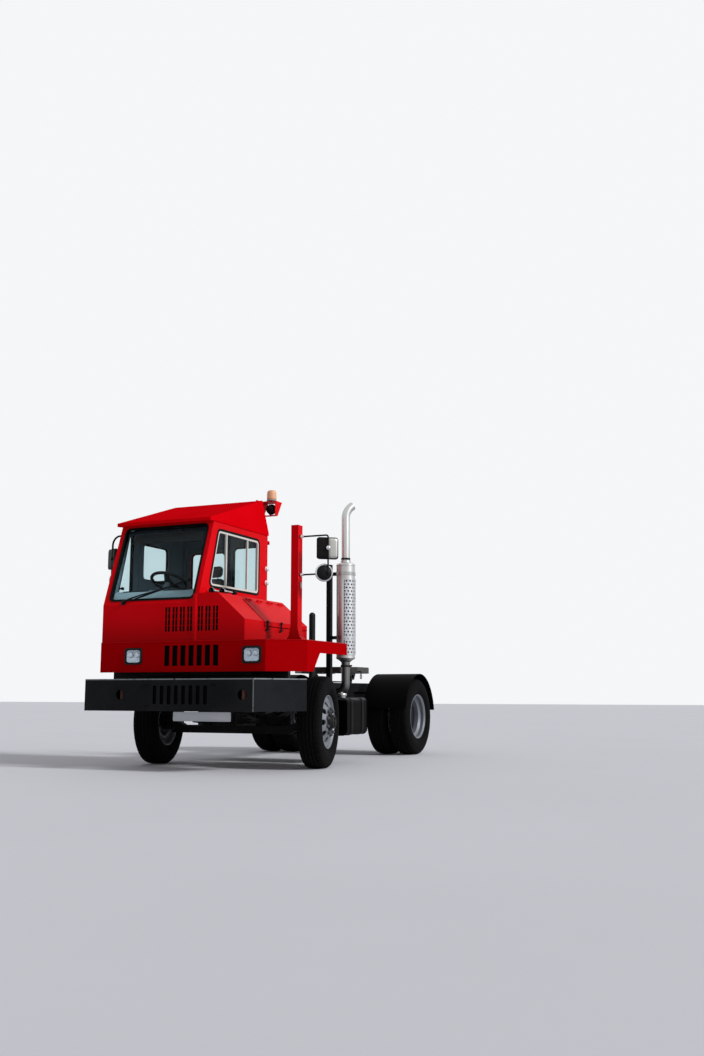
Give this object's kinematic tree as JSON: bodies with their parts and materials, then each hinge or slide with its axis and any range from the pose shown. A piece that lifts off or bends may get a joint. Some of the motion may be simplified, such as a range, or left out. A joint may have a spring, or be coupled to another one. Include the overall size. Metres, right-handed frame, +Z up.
{
  "type": "terminal tractor",
  "caption": "Right-hand-drive yard tractor with an offset tilting cab beside its hood, steered front wheels, twin rear wheels and a lifting fifth wheel.",
  "frame": {"origin": "on the ground below the middle of the truck's bounding box", "axes": "+X forward along the truck, +Y to its left, +Z up"},
  "size_m": [4.83, 2.9656, 3.398],
  "materials": {
    "cab_red": "gloss, slightly faded",
    "chassis_grey": "satin, dusty",
    "rim_silver": "satin, dusty",
    "tyre": "matt, dusty",
    "engine_iron": "rough",
    "bare_steel": "worn",
    "aluminium": "satin",
    "chrome": "bright",
    "pane": "clear, faintly tinted",
    "lens": "clear, ribbed",
    "amber_lens": "faded",
    "red_lens": "gloss",
    "seal_rubber": "matt",
    "black_plastic": "matt",
    "grey_trim": "grained",
    "seat_cloth": "woven"
  },
  "bodies": {
    "chassis": {"frame_rail_left": "chassis_grey", "frame_rail_right": "chassis_grey", "cross_members": "chassis_grey", "bumper": "chassis_grey", "engine_block": "engine_iron", "radiator": "aluminium", "driveline": "engine_iron", "front_axle": "chassis_grey", "front_springs": "chassis_grey", "rear_axle": "chassis_grey", "exhaust_stack": "bare_steel", "exhaust_mast": "chassis_grey", "fuel_tank": "chassis_grey", "battery_box": "chassis_grey", "rear_deck": "chassis_grey", "mudguards": "seal_rubber", "tail_lamps": "red_lens"},
    "cab": {"cab_shell": "cab_red", "cab_roof": "cab_red", "lower_panel": "cab_red", "hood_shell": "cab_red", "cab_glass": "pane", "window_seals": "seal_rubber", "left_window_frame": "aluminium", "dashboard": "grey_trim", "driver_seat": "seat_cloth", "steering_wheel": "black_plastic", "mirror_post": "cab_red", "mirrors_left": "chrome", "mirrors_right": "black_plastic", "tilt_shaft": "chassis_grey", "headlamps": "lens", "beacon": "amber_lens", "lamp_housing": "cab_red", "work_lamp": "black_plastic", "air_horns": "chrome"},
    "hood_lid": {"hood_lid": "cab_red"},
    "side_door": {"side_door": "cab_red", "side_door_glass": "pane"},
    "rear_door": {"rear_door": "cab_red", "rear_door_glass": "pane"},
    "knuckle_left": {"knuckle_left": "chassis_grey"},
    "knuckle_right": {"knuckle_right": "chassis_grey"},
    "tie_rod": {"tie_rod": "chassis_grey"},
    "wheel_front_left": {"wheel_front_left": "rim_silver", "tyre_front_left": "tyre"},
    "wheel_front_right": {"wheel_front_right": "rim_silver", "tyre_front_right": "tyre"},
    "wheels_rear_left": {"wheels_rear_left": "rim_silver", "tyres_rear_left": "tyre"},
    "wheels_rear_right": {"wheels_rear_right": "rim_silver", "tyres_rear_right": "tyre"},
    "lift_boom": {"lift_boom": "chassis_grey"},
    "fifth_wheel": {"fifth_wheel": "chassis_grey"},
    "lift_barrels": {"lift_barrels": "chassis_grey"},
    "lift_rods": {"lift_rods": "chrome"}
  },
  "joints": [
    {"name": "cab_tilt", "type": "hinge", "parent": "chassis", "child": "cab", "pos_m": [2.08, 0, 1.064], "axis": [0, 1, 0], "range_deg": [0, 35]},
    {"name": "hood_lid_hinge", "type": "hinge", "parent": "cab", "child": "hood_lid", "pos_m": [1.18, 0.36688, 1.89742], "axis": [1, 0, 0], "range_deg": [0, 75]},
    {"name": "side_door_hinge", "type": "hinge", "parent": "cab", "child": "side_door", "pos_m": [1.58, -1.226, 1.9], "axis": [0, 0, 1], "range_deg": [0, 72]},
    {"name": "rear_door_slide", "type": "slide", "parent": "cab", "child": "rear_door", "axis": [0, 1, 0], "range_m": [0, 0.56]},
    {"name": "steer_left", "type": "hinge", "parent": "chassis", "child": "knuckle_left", "pos_m": [1.18, 0.93, 0.515], "axis": [0, 0, 1], "range_deg": [-46, 24]},
    {"name": "steer_right", "type": "hinge", "parent": "chassis", "child": "knuckle_right", "pos_m": [1.18, -0.93, 0.515], "axis": [0, 0, 1], "range_deg": [-46, 24]},
    {"name": "tie_rod_ball", "type": "hinge", "parent": "knuckle_left", "child": "tie_rod", "pos_m": [0.98367, 0.89184, 0.382], "axis": [0, 0, 1], "range_deg": [-24, 46]},
    {"name": "spin_front_left", "type": "hinge", "parent": "knuckle_left", "child": "wheel_front_left", "pos_m": [1.18, 0.93, 0.515], "axis": [-0.1908, 0.9816, 0], "continuous": true},
    {"name": "spin_front_right", "type": "hinge", "parent": "knuckle_right", "child": "wheel_front_right", "pos_m": [1.18, -0.93, 0.515], "axis": [-0.1908, 0.9816, 0], "continuous": true},
    {"name": "spin_rear_left", "type": "hinge", "parent": "chassis", "child": "wheels_rear_left", "pos_m": [-1.766, 0.91, 0.515], "axis": [0, 1, 0], "continuous": true},
    {"name": "spin_rear_right", "type": "hinge", "parent": "chassis", "child": "wheels_rear_right", "pos_m": [-1.766, -0.91, 0.515], "axis": [0, 1, 0], "continuous": true},
    {"name": "boom_lift", "type": "hinge", "parent": "chassis", "child": "lift_boom", "pos_m": [-0.32, 0, 0.86], "axis": [0, 1, 0], "range_deg": [0, 18]},
    {"name": "fifth_wheel_pitch", "type": "hinge", "parent": "lift_boom", "child": "fifth_wheel", "pos_m": [-1.516, 0, 1.062], "axis": [0, 1, 0], "range_deg": [-9, 12]},
    {"name": "lift_barrel_pivot", "type": "hinge", "parent": "chassis", "child": "lift_barrels", "pos_m": [-0.87, 0, 0.63], "axis": [0, 1, 0], "range_deg": [-1, 24]},
    {"name": "lift_rod_slide", "type": "slide", "parent": "lift_barrels", "child": "lift_rods", "axis": [-0.7372, 0, 0.6757], "range_m": [-0.002, 0.186]}
  ],
  "couplings": [
    {"joint": "steer_right", "follows": "steer_left", "ratio": 1},
    {"joint": "tie_rod_ball", "follows": "steer_left", "ratio": -1},
    {"joint": "lift_barrel_pivot", "follows": "boom_lift", "ratio": 1.2749},
    {"joint": "lift_rod_slide", "follows": "boom_lift", "m_per_rad": 0.57827}
  ]
}
